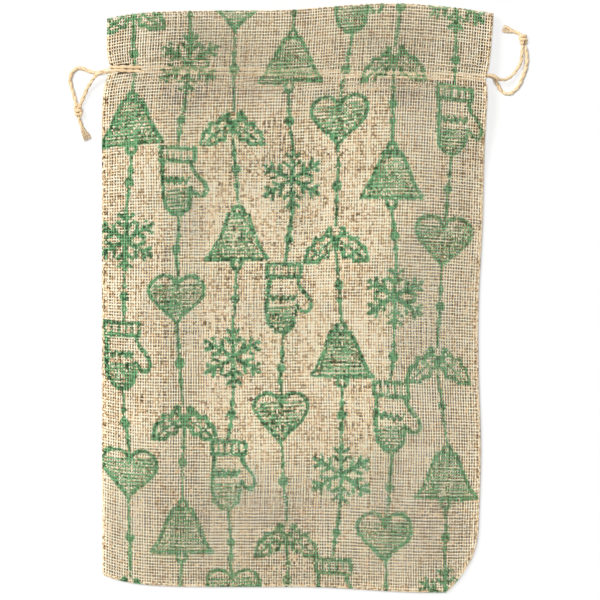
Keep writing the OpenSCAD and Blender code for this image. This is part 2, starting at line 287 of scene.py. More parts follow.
def back_face(c, r):
    x, y = panel_xy(c, r)
    z = CLOTH_T / 2 + 0.05 + 0.12 * (1 + noise(41, c / 30, r / 40))
    return with_edges(np.stack([x, y, z], axis=-1), c, r, SKIRT / 2, BACK_RIM_Z - CLOTH_T / 2, BACK_BULGE, 1)


def flap_of(face, way):
    """The turned-in hem of a panel, which lies under the front at -1 and over the back at 1."""
    def flap(c, r):
        p = face(c, np.minimum(r, SACK_L))
        p[..., 2] += way * (CLOTH_T + LAYER_GAP + cord_bulge(above_cord(p[..., 0], p[..., 1])))
        return p
    return flap


# The print: generic winter ornaments on strings, drawn in flat cloth coordinates.

LINE, STRING = 2.7, 2.05
HATCH_W, HATCH_PITCH = 1.7, 1.75
BERRY = 4.6
BEADS = ((0.3, 3.4), (0.5, 5.4), (0.7, 3.4))  # share of the way down a string, and size
MOTIF = 1.14
STRINGS_X, REPEAT = (-86, -58, -30.5, -3, 25, 52.5, 80), 62.0
WAVER, WAVER_L = 0.7, 11
GRID = 0.25


def closed(points):
    return np.vstack([points, points[:1]])


def polar(radii, turns):
    a = 2 * pi * np.asarray(turns)
    return np.stack([radii * np.sin(a), radii * np.cos(a)], axis=-1)


def hatch(top, bottom, reach, slant):
    """Lines across a motif, close enough to read as a filled shape."""
    levels = np.arange(top, bottom, -HATCH_PITCH)
    return [([(-reach(y), y - slant), (reach(y), y + slant)], HATCH_W) for y in levels]


def holly():
    """Two spined leaves under three berries."""
    along = np.array([0, 2.4, 4.6, 7.2, 9.4, 12.2, 17.0])
    wide = np.array([0, 3.9, 2.6, 4.9, 3.0, 3.7, 0])
    leaf = np.vstack([np.stack([along, wide], axis=1), np.stack([along, -wide], axis=1)[-2::-1]])
    turn = radians(-38)
    strokes = []
    for side in (-1, 1):
        x = side * (1.0 + leaf[:, 0] * cos(turn) - leaf[:, 1] * sin(turn))
        y = leaf[:, 0] * sin(turn) + leaf[:, 1] * cos(turn)
        strokes.append((np.stack([x, y], axis=1), LINE))
        strokes.append(([(0, 0), (side * 12.0, -9.0)], LINE * 0.7))
        for k in (4.2, 7.6):
            root = (side * k, -0.75 * k)
            for tip in ((side * (k + 3.2), -0.75 * k + 0.4), (side * (k - 0.2), -0.75 * k - 3.4)):
                strokes.append(([root, tip], LINE * 0.6))
    for x, y in ((-3.0, 3.2), (3.0, 3.2), (0.0, -2.2)):
        strokes.append(([(x, y), (x, y - 0.3)], BERRY))
    return strokes


def snowflake():
    strokes = []
    for k in range(6):
        strokes.append(([(0, 0), polar(14.0, k / 6)], LINE * 1.1))
        for reach, barb in ((5.5, 4.6), (9.8, 3.8)):
            root = polar(reach, k / 6)
            for side in (-1, 1):
                strokes.append(([root, root + polar(barb, k / 6 + side / 7)], LINE * 0.9))
    return strokes


def mitten():
    hand = [(-6.5, 9.5), (-7, 2), (-7.2, -6), (-6, -12), (-2.8, -15.2), (1.2, -15.2), (4.6, -12.4),
            (5.8, -7), (6.2, -3.5), (8.5, -6.5), (11.5, -6.8), (13, -4.2), (12, -0.8), (8.5, 3.5),
            (6.6, 6.5), (6.5, 9.5)]
    cuff = [(-7.6, 9.5), (7.6, 9.5), (7.6, 15.5), (-7.6, 15.5)]
    zigzag = np.stack([np.linspace(-5.8, 5.4, 9), 1.5 - 2.4 * (np.arange(9) % 2)], axis=1)
    strokes = [(hand, LINE), (closed(cuff), LINE), (zigzag, LINE * 0.85)]
    strokes += [([(x, 10.0), (x, 15.0)], 1.5) for x in (-4.6, -1.6, 1.6, 4.6)]
    reach = lambda level: float(np.interp(level, (-15, -12, -5), (1.5, 4.6, 5.8)))
    return strokes + hatch(-4.5, -14.5, reach, 0.4)


def bell():
    up = np.linspace(0, 1, 14)
    half = 4.2 + 7.6 * up**2.2 + 2.4 * np.sin(pi * np.minimum(1, up * 2) / 2)
    y = 11 - 20 * up
    outline = np.vstack([np.stack([half, y], axis=1), np.stack([-half[::-1], y[::-1]], axis=1)])
    clapper = polar(2.2, np.arange(13) / 12) + (0, -11.5)
    loop = polar(2.0, np.arange(11) / 10) + (0, 13)
    reach = lambda level: np.interp(-level, -y, half) - 0.6
    return [(closed(outline), LINE), (clapper, LINE)] + hatch(9.2, -8.5, reach, 0.3) + [(loop, LINE)]


def heart():
    a = np.linspace(0, 2 * pi, 40)
    high = 10.2 * np.cos(a) - 3.9 * np.cos(2 * a) - 1.6 * np.cos(3 * a) - 0.8 * np.cos(4 * a) + 1
    outline = np.stack([12.5 * np.sin(a) ** 3, high], axis=1)
    reach = lambda level: float(np.interp(level, (-11, -5, 2, 6), (1.0, 6.5, 10.6, 10.4)))
    return [(outline, LINE)] + hatch(5.8, -9.5, reach, 0.5)


MOTIFS = ((holly, 5.0, 3.5), (bell, 15.0, 13.5), (snowflake, 14.0, 14.0), (mitten, 15.5, 15.5),
          (heart, 6.5, 11.0))  # each with its reach up and down its string


def print_strokes():
    """Seven strings of ornaments, every other one dropped by half a repeat."""
    strokes = []
    for column, x in enumerate(STRINGS_X):
        start = SACK_L + 4 - REPEAT / 2 * (column % 2)
        string_top = np.array([x, SACK_L + 20])
        for k in range(6):
            draw, up, down = MOTIFS[(2 * column + k) % 5]
            centre = np.array([x + 2.5 * sin(2.1 * column + 1.7 * k), start - REPEAT * k])
            string_end = centre + (0, up * MOTIF)
            strokes.append(([string_top, string_end], STRING))
            for share, size in BEADS:
                bead = string_top + (string_end - string_top) * share
                strokes.append(([bead, bead - (0, 0.4)], size))
            strokes += [(MOTIF * np.array(points) + centre, width) for points, width in draw()]
            string_top = centre - (0, down * MOTIF)
    return strokes


def print_field():
    """Distance from the edge of the nearest stroke, negative inside it, on a grid over the cloth."""
    margin, far = 16.0, 3.0
    c = np.arange(-HALF_W - margin, HALF_W + margin, GRID)
    r = np.arange(-margin, SACK_L + margin, GRID)
    field = np.full((len(c), len(r)), far)
    for points, width in print_strokes():
        for a, b in zip(points[:-1], points[1:]):
            reach = width / 2 + far
            i0, i1 = np.searchsorted(c, (min(a[0], b[0]) - reach, max(a[0], b[0]) + reach))
            j0, j1 = np.searchsorted(r, (min(a[1], b[1]) - reach, max(a[1], b[1]) + reach))
            if i0 == i1 or j0 == j1:
                continue
            px, py = c[i0:i1, None] - a[0], r[None, j0:j1] - a[1]
            d = b - a
            t = np.clip((px * d[0] + py * d[1]) / max(d @ d, 1e-9), 0, 1)
            part = field[i0:i1, j0:j1]
            np.minimum(part, np.hypot(px - t * d[0], py - t * d[1]) - width / 2, out=part)
    return c[0], r[0], field


PRINT = print_field()


def ink_at(c, r):
    """The print's distance field at flat points, with the waver of a hand-drawn line."""
    c0, r0, field = PRINT
    wc = c + WAVER * noise(51, c / WAVER_L, r / WAVER_L)
    wr = r + WAVER * noise(52, c / WAVER_L, r / WAVER_L)
    i = np.clip((wc - c0) / GRID, 0, field.shape[0] - 1.001)
    j = np.clip((wr - r0) / GRID, 0, field.shape[1] - 1.001)
    i0, j0 = i.astype(int), j.astype(int)
    s, t = i - i0, j - j0
    flat = (field[i0, j0] * (1 - s) * (1 - t) + field[i0 + 1, j0] * s * (1 - t)
            + field[i0, j0 + 1] * (1 - s) * t + field[i0 + 1, j0 + 1] * s * t)
    return flat + 0.25 * noise(53, c / 5, r / 5)


# Meshes

def add_object(name, data):
    obj = bpy.data.objects.new(name, data)
    bpy.context.scene.collection.objects.link(obj)
    return obj


def tubes(rings, values, fibre, keep=None):
    """Tubes for tube_mesh: rings, values for their points, the way along each tube and stretches to keep."""
    if keep is None:
        keep = np.ones((rings.shape[0], rings.shape[1] - 1), bool)
    values = {name: np.broadcast_to(value, rings.shape[:3]) for name, value in values.items()}
    return {"rings": rings, "keep": keep, "values": values, "fibre": np.broadcast_to(fibre, rings.shape[:2])}


STRIPS_V, CAPS_V, CAP_R = 0.98, 0.991, 0.007  # heights on the baking map
COLUMN_FILL, ROW_FILL = 0.98, 0.94


def strip_map(groups, caps, sides):
    """Flat layout for baking: a strip for each tube, in columns by group, and the caps in a band on top."""
    used = []
    for keep in (g["keep"] for g in groups):
        made, first = keep.any(axis=1), np.argmax(keep, axis=1)
        last = keep.shape[1] - np.argmax(keep[:, ::-1], axis=1)
        used.append((first, np.cumsum(made) - 1, int(made.sum()), int((last - first)[made].max())))
    whole = sum(count * longest for _, _, count, longest in used)
    places, base = [], 0.0
    for g, (first, rank, count, longest) in zip(groups, used):
        height = STRIPS_V * count * longest / whole
        columns = max(1, round(sqrt(count * sides / (longest * height))))
        rows = ceil(count / columns)
        tube, stretch = np.nonzero(g["keep"])
        along = (stretch - first[tube])[:, None, None] + np.array([0, 0, 1, 1])
        across = (np.arange(sides)[:, None] + np.array([0, 1, 1, 0])) / sides
        part = np.empty((len(tube), sides, 4, 2), np.float32)
        part[..., 0] = ((rank[tube] % columns)[:, None, None] + COLUMN_FILL * along / longest) / columns
        part[..., 1] = base + height * ((rank[tube] // columns)[:, None, None] + ROW_FILL * across) / rows
        places.append(part.ravel())
        base += height
    turn = 2 * pi * np.arange(sides) / sides
    u = (np.arange(caps)[:, None] + 0.5 + 0.45 * np.cos(turn)) / caps
    v = np.broadcast_to(CAPS_V + CAP_R * np.sin(turn), u.shape)
    return np.concatenate(places + [np.stack([u, v], axis=2).astype(np.float32).ravel()])


def fibre_map(groups, caps, sides):
    """Map along the fibres: the share of the way round a tube, and the way along it."""
    places, around = [], np.arange(sides) / sides
    for g in groups:
        low, high = g["fibre"][:, :-1][g["keep"]], g["fibre"][:, 1:][g["keep"]]
        part = np.empty((len(low), sides, 4, 2), np.float32)
        part[..., 0] = (around[:, None] + np.array([0, 1, 1, 0]) / sides)[None]
        part[:, :, :2, 1], part[:, :, 2:, 1] = low[:, None, None], high[:, None, None]
        places.append(part.ravel())
    return np.concatenate(places + [np.zeros(2 * caps * sides, np.float32)])


def tube_faces(groups):
    """Quads along the tubes, and a cap at both ends of each stretch."""
    quads, caps, offset = [], [], 0
    for g in groups:
        keep = g["keep"]
        index = offset + np.arange(g["rings"][..., 0].size).reshape(g["rings"].shape[:3])
        low, high = index[:, :-1][keep], index[:, 1:][keep]
        around = [low, np.roll(low, -1, axis=1), np.roll(high, -1, axis=1), high]
        quads.append(np.stack(around, axis=2).reshape(-1, 4))
        first = keep & ~np.pad(keep, ((0, 0), (1, 0)))[:, :-1]
        last = keep & ~np.pad(keep, ((0, 0), (0, 1)))[:, 1:]
        caps += [index[:, :-1][first][:, ::-1], index[:, 1:][last]]
        offset += index.size
    return np.vstack(quads), np.vstack(caps)


def tube_mesh(name, *groups):
    """One object from groups of tubes that have the same number of sides."""
    sides = groups[0]["rings"].shape[2]
    quads, caps = tube_faces(groups)
    used, corners = np.unique(np.concatenate([quads.ravel(), caps.ravel()]), return_inverse=True)
    mesh = bpy.data.meshes.new(name)
    points = np.vstack([g["rings"].reshape(-1, 3) for g in groups])
    mesh.vertices.add(len(used))
    mesh.vertices.foreach_set("co", (points[used] * MM).astype(np.float32).ravel())
    mesh.loops.add(len(corners))
    mesh.loops.foreach_set("vertex_index", corners.astype(np.int32))
    mesh.polygons.add(len(quads) + len(caps))
    starts = np.concatenate([4 * np.arange(len(quads)), quads.size + sides * np.arange(len(caps))])
    mesh.polygons.foreach_set("loop_start", starts.astype(np.int32))
    for key in groups[0]["values"]:
        number = np.concatenate([np.ravel(g["values"][key]) for g in groups])[used]
        mesh.attributes.new(key, "FLOAT", "POINT").data.foreach_set("value", number.astype(np.float32))
    mesh.uv_layers.new(name="Fibre").data.foreach_set("uv", fibre_map(groups, len(caps), sides))
    if len(caps) > 8:
        mesh.uv_layers.new(name="OFBake").data.foreach_set("uv", strip_map(groups, len(caps), sides))
    mesh.update(calc_edges=True)
    mesh.validate()
    return add_object(name, mesh)


# Shader nodes

def fresh_tree(owner):
    owner.use_nodes = True
    owner.node_tree.nodes.clear()
    return owner.node_tree


def feed(tree, socket, value):
    if isinstance(value, bpy.types.NodeSocket):
        tree.links.new(value, socket)
    else:
        socket.default_value = value


def node(tree, kind, *values, **named):
    """A shader node. Values feed the first inputs and those with a capital. Other names are settings."""
    made = tree.nodes.new("ShaderNode" + kind)
    for socket, value in zip(made.inputs, values):
        feed(tree, socket, value)
    for key, value in named.items():
        if key.islower():
            setattr(made, key, value)
        else:
            feed(tree, made.inputs[key.replace("_", " ")], value)
    return made


def math_node(tree, operation, a, b):
    return node(tree, "Math", a, b, operation=operation).outputs[0]


def mix_shaders(tree, share, first, second, kind):
    """Two shaders mixed by a share, as what the tree puts out."""
    mix = node(tree, "MixShader", share, first.outputs[0], second.outputs[0])
    node(tree, kind, Surface=mix.outputs[0])


def seen_rays(tree):
    """1 for rays that show a surface to the camera, straight or by a gloss."""
    path = node(tree, "LightPath").outputs
    total = path["Is Camera Ray"]
    for name in ("Is Glossy Ray", "Is Transmission Ray"):
        total = math_node(tree, "MAXIMUM", total, path[name])
    return total


# Camera, light and floor. The camera is a long lens straight above, at the photograph's scale.

FRAME_W, CAMERA_PLACE, AIM_Z = 315.6, (1.3, -0.8, 2000.0), 9.0
SENSOR_W = 36
SUN_WIDTH, SUN_TURN = 18, (-15.4, -26, 0)  # degrees
WHITE = (1, 1, 1, 1)
FLOOR_HALF, FLOOR_Z = 3, -0.0002  # metres

camera_data = bpy.data.cameras.new("camera")
camera_data.sensor_width = SENSOR_W
camera_data.lens = SENSOR_W * (CAMERA_PLACE[2] - AIM_Z) / FRAME_W
camera_data.clip_end = 20
camera = add_object("camera", camera_data)
camera.location = [part * MM for part in CAMERA_PLACE]
bpy.context.scene.camera = camera
bpy.context.scene.view_settings.view_transform = "Standard"

world = bpy.data.worlds.new("studio")
bpy.context.scene.world = world
tree = fresh_tree(world)
mix_shaders(tree, seen_rays(tree), node(tree, "Background", Color=(1, 0.985, 0.965, 1), Strength=0.27),
            node(tree, "Background", Color=WHITE, Strength=1.0), "OutputWorld")

sun_data = bpy.data.lights.new("window", "SUN")
sun_data.energy = 3.45
sun_data.angle = radians(SUN_WIDTH)
sun_data.color = (1, 0.985, 0.955)
add_object("window", sun_data).rotation_euler = [radians(turn) for turn in SUN_TURN]

floor_mesh = bpy.data.meshes.new("floor")
floor_corners = [(x * FLOOR_HALF, y * FLOOR_HALF, FLOOR_Z) for x, y in ((-1, -1), (1, -1), (1, 1), (-1, 1))]
floor_mesh.from_pydata(floor_corners, [], [(0, 1, 2, 3)])
floor = add_object("floor", floor_mesh)
paper = bpy.data.materials.new("paper")
tree = fresh_tree(paper)
# The floor glows white to camera rays, but an occlusion test takes the glow away under the sack and in a thin
# band beside it: painted contact shade.
uncovered = node(tree, "AmbientOcclusion", Distance=0.0015, samples=6).outputs["AO"]
glow_share_less_painted_shade = node(tree, "MapRange", Value=uncovered, From_Min=0.62, From_Max=0.92, To_Min=0.0, To_Max=0.84)
mix_shaders(tree, math_node(tree, "MULTIPLY", seen_rays(tree), glow_share_less_painted_shade.outputs[0]),
            node(tree, "BsdfDiffuse", Color=(0.9, 0.9, 0.9, 1)),
            node(tree, "Emission", Color=WHITE, Strength=1.0), "OutputMaterial")
floor_mesh.materials.append(paper)


# Materials

# Jute colours by tone. The darkest stops are reached by the painted shade on faces inside the sack.
JUTE = [(0.0, (0.11, 0.07, 0.035)), (0.16, (0.38, 0.265, 0.145)), (0.33, (0.73, 0.525, 0.31)),
        (0.57, (0.98, 0.76, 0.482)), (1.0, (1.0, 0.912, 0.722))]
CORD = [(0.0, (0.46, 0.28, 0.13)), (0.4, (0.80, 0.60, 0.36)), (0.7, (0.90, 0.73, 0.50)),
        (1.0, (0.96, 0.86, 0.68))]
THREAD = [(0.0, (0.50, 0.37, 0.22)), (1.0, (0.86, 0.70, 0.48))]
INK = [(0.35, (0.01, 0.08, 0.028)), (1.0, (0.20, 0.51, 0.235))]
GRAIN_TONE, GRAIN_BUMP, MOTTLE_TONE, RAG = 0.9, 0.55, 0.5, 1.2


def ramp(tree, value, stops):
    made = node(tree, "ValToRGB", Fac=value)
    for k, (place, colour) in enumerate(stops):
        stop = made.color_ramp.elements[k] if k < 2 else made.color_ramp.elements.new(place)
        stop.position = place
        stop.color = (*colour, 1)
    return made.outputs[0]


def attribute(tree, name):
    return node(tree, "Attribute", attribute_name=name).outputs["Fac"]


def varied(tree, value, pattern, amount):
    """A value that swings with a noise pattern."""
    swing = math_node(tree, "MULTIPLY", math_node(tree, "SUBTRACT", pattern, 0.5), amount)
    return math_node(tree, "ADD", value, swing)


def dyed(tree, place, tone, colour):
    """The print's ink over the fibre's colour, with ragged edges."""
    rag = node(tree, "TexNoise", Vector=place, Scale=1700.0, Detail=3.0, Roughness=0.7)
    edge = varied(tree, attribute(tree, "ink"), rag.outputs[0], RAG)
    mask = node(tree, "MapRange", Value=edge, From_Min=0.32, From_Max=-0.02, To_Min=0.0, To_Max=0.96,
                interpolation_type="SMOOTHSTEP")
    dye = node(tree, "Mix", data_type="RGBA")
    # The ink darkens with the tone, so it takes the painted shade too.
    ink = ramp(tree, math_node(tree, "ADD", tone, 0.02), INK)
    for k, value in ((0, mask.outputs[0]), (6, colour), (7, ink)):
        feed(tree, dye.inputs[k], value)
    return dye.outputs[2]


def fibre_material(name, stops, printed=False, grain=1.0):
    """Bast fibre: colour by tone, which on the cloth holds painted shade and highlight, with fine mottling
    and hairy grain along the yarn.
    """
    made = bpy.data.materials.new(name)
    tree = fresh_tree(made)
    place = node(tree, "TexCoord").outputs["Object"]
    strand = node(tree, "UVMap", uv_map="Fibre")
    stretch = node(tree, "Mapping", Vector=strand.outputs[0], Scale=(14, 1.1, 1))
    hairs = node(tree, "TexNoise", Vector=stretch.outputs[0], Scale=1.0, Detail=3.0, Roughness=0.6).outputs[0]
    mottle = node(tree, "TexNoise", Vector=place, Scale=420.0, Detail=2.0).outputs[0]
    tone = varied(tree, varied(tree, attribute(tree, "tone"), hairs, GRAIN_TONE), mottle, MOTTLE_TONE)
    colour = ramp(tree, tone, stops)
    if printed:
        colour = dyed(tree, place, tone, colour)
    rough = node(tree, "MapRange", Value=hairs, To_Min=0.78, To_Max=0.98)
    bump = node(tree, "Bump", Height=hairs, Strength=GRAIN_BUMP * grain, Distance=0.00012)
    surface = node(tree, "BsdfPrincipled", Base_Color=colour, Roughness=rough.outputs[0],
                   Normal=bump.outputs[0], Specular_IOR_Level=0.22, Sheen_Weight=0.08, Sheen_Roughness=0.5)
    node(tree, "OutputMaterial", Surface=surface.outputs[0])
    return made


printed_jute = fibre_material("printed_jute", JUTE, printed=True)
plain_jute = fibre_material("plain_jute", JUTE)
cord_jute = fibre_material("cord_jute", CORD)
thread_fibre = fibre_material("thread", THREAD, grain=0.5)


def dress(obj, material, slot, *nodes):
    obj.data.materials.append(material)
    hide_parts(*nodes)
    return obj


# Cords: two plies laid round each other, followed from one knot strand through the casings to the other.

PLY_R, PLY_OFF, LAY = 0.68, 0.33, 8.0
CORD_STEP, FINE_STEP, PLY_SIDES, ROUNDING = 0.45, 0.36, 7, 24
CORD_TONE, HAIR_TONE = 0.55, 0.7
PLY_FLOOR, HAIR_FLOOR, BRUSH_FLOOR = 0.72, 0.06, 0.1  # least heights above the ground
HAIRS, HAIR_W, HAIR_THIN = 260, 0.035, np.array([1.0, 0.9, 0.7, 0.25])
BRUSH_HAIRS, BRUSH_W, BRUSH_STEPS = 190, 0.075, 9
KNOT_WRAPS = ((2.3, 0.3, -2.4, 2.1, 1.45), (-0.62, 1.2, -2.8, 2.6, 1.6))  # turns, start, low, high, radius


def frames_along(path):
    """Tangent and two cross directions that don't spin along the path."""
    t = unit(np.gradient(path, axis=0))
    a = np.empty_like(t)
    first = np.cross(t[0], (0, 0, 1.0))
    a[0] = unit(first if np.linalg.norm(first) > 0.1 else np.cross(t[0], (0, 1.0, 0)))
    for k in range(1, len(t)):
        a[k] = unit(a[k - 1] - t[k] * (a[k - 1] @ t[k]))
    return t, a, np.cross(t, a)


def tube_rings(path, radius, sides):
    _, a, b = frames_along(path)
    circle = turned(a[:, None], b[:, None], 2 * pi * np.arange(sides) / sides)
    return path[:, None] + circle * np.broadcast_to(radius, len(path))[:, None, None]


def laid_cord(path, seed, open_from=None):
    """Rings of both plies. Past open_from, the plies come apart and thin out."""
    _, a, b = frames_along(path)
    run = run_of(path)
    apart = np.zeros_like(run) if open_from is None else ease((run - open_from) / (run[-1] - open_from))
    rings = []
    for ply in range(2):
        turn = 2 * pi * run / LAY * (1 - 0.35 * apart) + pi * ply + 0.5 * noise(seed, run / 9, ply)
        off = PLY_OFF * (1 + 0.12 * noise(seed + 1, run / 5, ply * 7)) + 1.0 * apart
        line = path + turned(a, b, turn) * off[:, None]
        line[:, 2] = np.maximum(line[:, 2], PLY_FLOOR)
        radius = PLY_R * (1 + 0.10 * noise(seed + 2, run / 3, ply * 5)) * (1 - 0.6 * apart)
        rings.append(tube_rings(line, radius, PLY_SIDES))
    return np.array(rings), run


def cord_piece(name, rings, run, seed, part=slice(None)):
    fibre = np.repeat(run[None, part], 2, axis=0)
    tone = (CORD_TONE + 0.14 * noise(seed, fibre / 4, np.arange(2)[:, None] * 9)
            + 0.08 * noise(seed + 1, fibre / 1.2))
    return tube_mesh(name, tubes(rings[:, part], {"tone": tone[..., None]}, fibre))


def cord_hairs(name, path, count, seed):
    """Loose fibres that stand off a cord: thin three-sided tubes, each bent."""
    rng = np.random.default_rng(seed)
    t, a, b = frames_along(path)
    k = rng.integers(0, len(path), count)
    outward = turned(a[k], b[k], rng.uniform(0, 2 * pi, count))
    roots = path[k] + outward * 0.75
    ways = unit(outward + t[k] * rng.normal(0, 1.3, (count, 1)))
    lengths = rng.uniform(0.5, 1.7, (count, 1, 1))
    rng = np.random.default_rng(seed + 1)
    along = np.linspace(0, 1, len(HAIR_THIN))[:, None]
    bend = rng.normal(0, 0.35, (count, 1, 3))
    line = roots[:, None] + (ways[:, None] * along + bend * along**2) * lengths
    line[..., 2] = np.maximum(line[..., 2], HAIR_FLOOR)
    ahead = unit(np.gradient(line, axis=1))
    a = unit(np.cross(ahead, (0.3, 0.2, 1.0)))
    b = np.cross(ahead, a)
    circle = turned(a[:, :, None], b[:, :, None], 2 * pi * np.arange(3) / 3)
    rings = line[:, :, None] + (HAIR_W * HAIR_THIN)[:, None, None] * circle
    tone = HAIR_TONE + rng.normal(0, 0.12, (count, 1, 1))
    return tube_mesh(name, tubes(rings, {"tone": tone}, (along * lengths)[..., 0]))


def tail_brush(name, path, count, seed):
    """The unlaid end of a cord: fibres that follow it and spread into a flat brush."""
    rng = np.random.default_rng(seed)
    length = run_of(path)[-1]
    begin = rng.uniform(0.25, 0.6, (count, 1))
    end = 1 + rng.uniform(-0.12, 0.1, (count, 1))
    at = begin + (end - begin) * np.linspace(0, 1, BRUSH_STEPS)[None]
    share = np.linspace(0, 1, len(path))
    middle = np.stack([np.interp(at, share, path[:, k]) for k in range(3)], axis=2)
    _, a, b = frames_along(path)
    middle += unit(path[-1] - path[-8]) * (np.maximum(0, at - 1) * length)[..., None]
    k = np.minimum((at * (len(path) - 1)).astype(int), len(path) - 1)
    spread = 0.5 + 1.5 * ease((at - 0.35) / 0.65)
    across = (rng.uniform(-1, 1, (count, 1)) * spread
              + 0.15 * noise(seed, at * 9, np.arange(count)[:, None] * 3.3))
    line = middle + a[k] * across[..., None] + b[k] * rng.normal(0, 0.3, (count, 1, 1))
    line[..., 2] = np.maximum(line[..., 2], BRUSH_FLOOR)
    rings = np.array([tube_rings(one, BRUSH_W * np.linspace(1, 0.5, BRUSH_STEPS), 3) for one in line])
    tone = HAIR_TONE + rng.normal(0, 0.15, (count, 1, 1))
    return tube_mesh(name, tubes(rings, {"tone": tone}, at * length))


def knot_rings(place, turn, seed):
    """Two wraps round the strands and a crossing turn over them, as an overhand knot shows from outside."""
    place = np.array(place)
    axis = np.array([-sin(turn), cos(turn), 0])
    side, up = np.array([cos(turn), sin(turn), 0]), np.array([0, 0, 1.0])
    t = np.linspace(0, 1, 60)
    wraps = []
    for turns, start, low, high, radius in KNOT_WRAPS:
        around = radius * turned(side, up, start + 2 * pi * turns * t)
        line = place + axis * (low + (high - low) * t)[:, None] + around
        wraps.append(laid_cord(smooth_path(line[::4], FINE_STEP), seed))
    return wraps


SLIT_FROM, SLIT_TO, SLIT_EASE = -104, -78, 7
SLIT_LIFT, SLIT_CLOSER = 1.8, 0.2
EXIT_STEP = 3


def front_run_point(x, s):
    """Place of a cord along the front casing. In the open slit it swells out, closer to its neighbour."""
    free = ease((SLIT_TO - x) / SLIT_EASE) * ease((x - SLIT_FROM) / SLIT_EASE)
    return casing_point(x, s * (1 - SLIT_CLOSER * free), FRONT_CORD_Z + SLIT_LIFT * free)


def casing_run(exit_x, s):
    """Inner run of a cord: along the front casing, round the far seam and back."""
    far_side = -copysign(1, exit_x)
    along = np.linspace(-abs(exit_x), TURN_X, 24) * far_side
    front = [front_run_point(x, s) for x in along[1:]]
    bend = []
    for a in np.linspace(0, pi, 9)[1:-1]:
        bend.append(casing_point(far_side * (TURN_X + TURN_R * sin(a)), s,
                                 BACK_CORD_Z + TURN_R * (1 + cos(a))))
    back = [casing_point(x, s, BACK_CORD_Z) for x in along[:0:-1]]
    return front + bend + back


def strand(exit_x, s, z, route):
    first = front_run_point(exit_x, s) if z == FRONT_CORD_Z else casing_point(exit_x, s, z)
    return [first, casing_point(exit_x + copysign(EXIT_STEP, exit_x), s, z)] + route


def nearest(path, point):
    return int(np.argmin(np.linalg.norm(path - np.array(point), axis=1)))


def drawstring(side, s, exit_x, free_x, seed, front_route, back_route, tail, knot):
    """All pieces of one cord. s is its place in the casings, and free_x where its front strand comes out."""
    body = f"{side}_drawstring"

    def own(cad_node, make, name, *given):
        """A piece that rides on the cord's body."""
        obj = dress(make(f"{side}_{name}", *given), cord_jute, "cord", f"{side}_{cad_node}")
        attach(obj, body)
        return obj

    front, back = strand(exit_x, s, FRONT_CORD_Z, front_route), strand(exit_x, s, BACK_CORD_Z, back_route)
    path = rounded(smooth_path(front[::-1] + casing_run(exit_x, s) + back, CORD_STEP), ROUNDING)
    rings, run = laid_cord(path, seed)
    half = len(path) // 2
    front_end = nearest(path, casing_point(free_x, s, FRONT_CORD_Z))
    back_start = half + nearest(path[half:], back[0])
    tail_path = smooth_path(tail, FINE_STEP)
    tail_laid = laid_cord(tail_path, seed + 11, open_from=0.45 * run_of(tail_path)[-1])
    free_path = np.vstack([path[:front_end], path[back_start:], tail_path])
    for key, name, part in (("front", "front_strand", slice(front_end + 1)),
                            ("run", "inner_run", slice(front_end, back_start + 1)),
                            ("back", "back_strand", slice(back_start, None))):
        own(f"cord_{key}", cord_piece, name, rings, run, seed + 3, part)
    own("tail", cord_piece, "loose_end", *tail_laid, seed + 12)
    wraps = [own("knot", cord_piece, f"knot_wrap_{k}", *laid, seed + 20 + k)
             for k, laid in enumerate(knot_rings(*knot, seed + 20))]
    own("tail", tail_brush, "tail_fray", tail_path, BRUSH_HAIRS, seed + 30)
    own("cord_front", cord_hairs, "cord_hairs", free_path, HAIRS, seed + 40)


drawstring("left", -CORD_PITCH / 2, -LEFT_EXIT_X, SLIT_L - HALF_W, 100,
           front_route=[(-104, 119, 9.5), (-107, 116.5, 6.5), (-109.5, 113, 4.2), (-111.8, 109, 2.8),
                        (-113.4, 105.2, 2.4), (-115, 101.5, 2.4)],
           back_route=[(-105.5, 118.8, 1.3), (-110, 120, 1), (-114, 121.8, 1), (-117.5, 121.4, 1),
                       (-119.8, 118.5, 1), (-120.2, 114.5, 1), (-119, 110, 1.1), (-117.6, 105.5, 1.5),
                       (-116.6, 101.5, 2)],
           tail=[(-115.8, 97, 2), (-115, 93.5, 1.2), (-113.5, 89.5, 1), (-111, 84.5, 1)],
           knot=((-115.8, 99.1, KNOT_Z), radians(10)))
drawstring("right", CORD_PITCH / 2, RIGHT_EXIT_X, RIGHT_EXIT_X, 200,
           front_route=[(105.5, 115.4, 9.2), (109, 115, 6.4), (113, 117.4, 4.2), (116.4, 121.6, 2.8),
                        (118.2, 126, 2.2), (118.6, 130.5, 2.2), (118.8, 134.4, 2.3)],
           back_route=[(105, 114, 1.3), (107.1, 110.1, 1), (110.2, 107.8, 1), (114.2, 109.2, 1),
                       (117.2, 113, 1), (119.4, 118, 1), (120.8, 123, 1), (121.2, 128, 1.1),
                       (120.2, 133, 1.8)],
           tail=[(118.6, 138.4, 2.2), (115.5, 140.6, 1.3), (112.5, 141.6, 1), (109, 142.5, 1)],
           knot=((119.2, 136.6, KNOT_Z), radians(187)))


# Cloth: plain weave of single yarns. Warp yarns run up the sack, weft yarns across it.

WARPS, WEFTS = 148, 189
WARP_PITCH, WEFT_PITCH = SACK_W / WARPS, SACK_L / WEFTS
YARN_W, YARN_T, CRIMP = 0.87, 0.50, 0.30
END_W, END_T = 0.55, 0.4             # shares that are left where a yarn ends
EDGE_FIRST, EDGE_PITCH = 0.5, 0.95   # closer yarns in the turned edges
SIDE_INSIDE, BOTTOM_INSIDE = 6, 5    # yarns of the seam allowances
FLAP_WEFTS = 30
SLIT_HALF = 2.0
# Base tone of the yarns, and the painted shade on the sides of each yarn, by set.
YARN_TONE, PAINTED_SIDE_SHADE = 1.05, {"warp": 0.32, "weft": 0.26}
SUNK_INK, SIDE_INK, NO_INK, MISSED = 0.4, 0.22, 2.0, 0.88

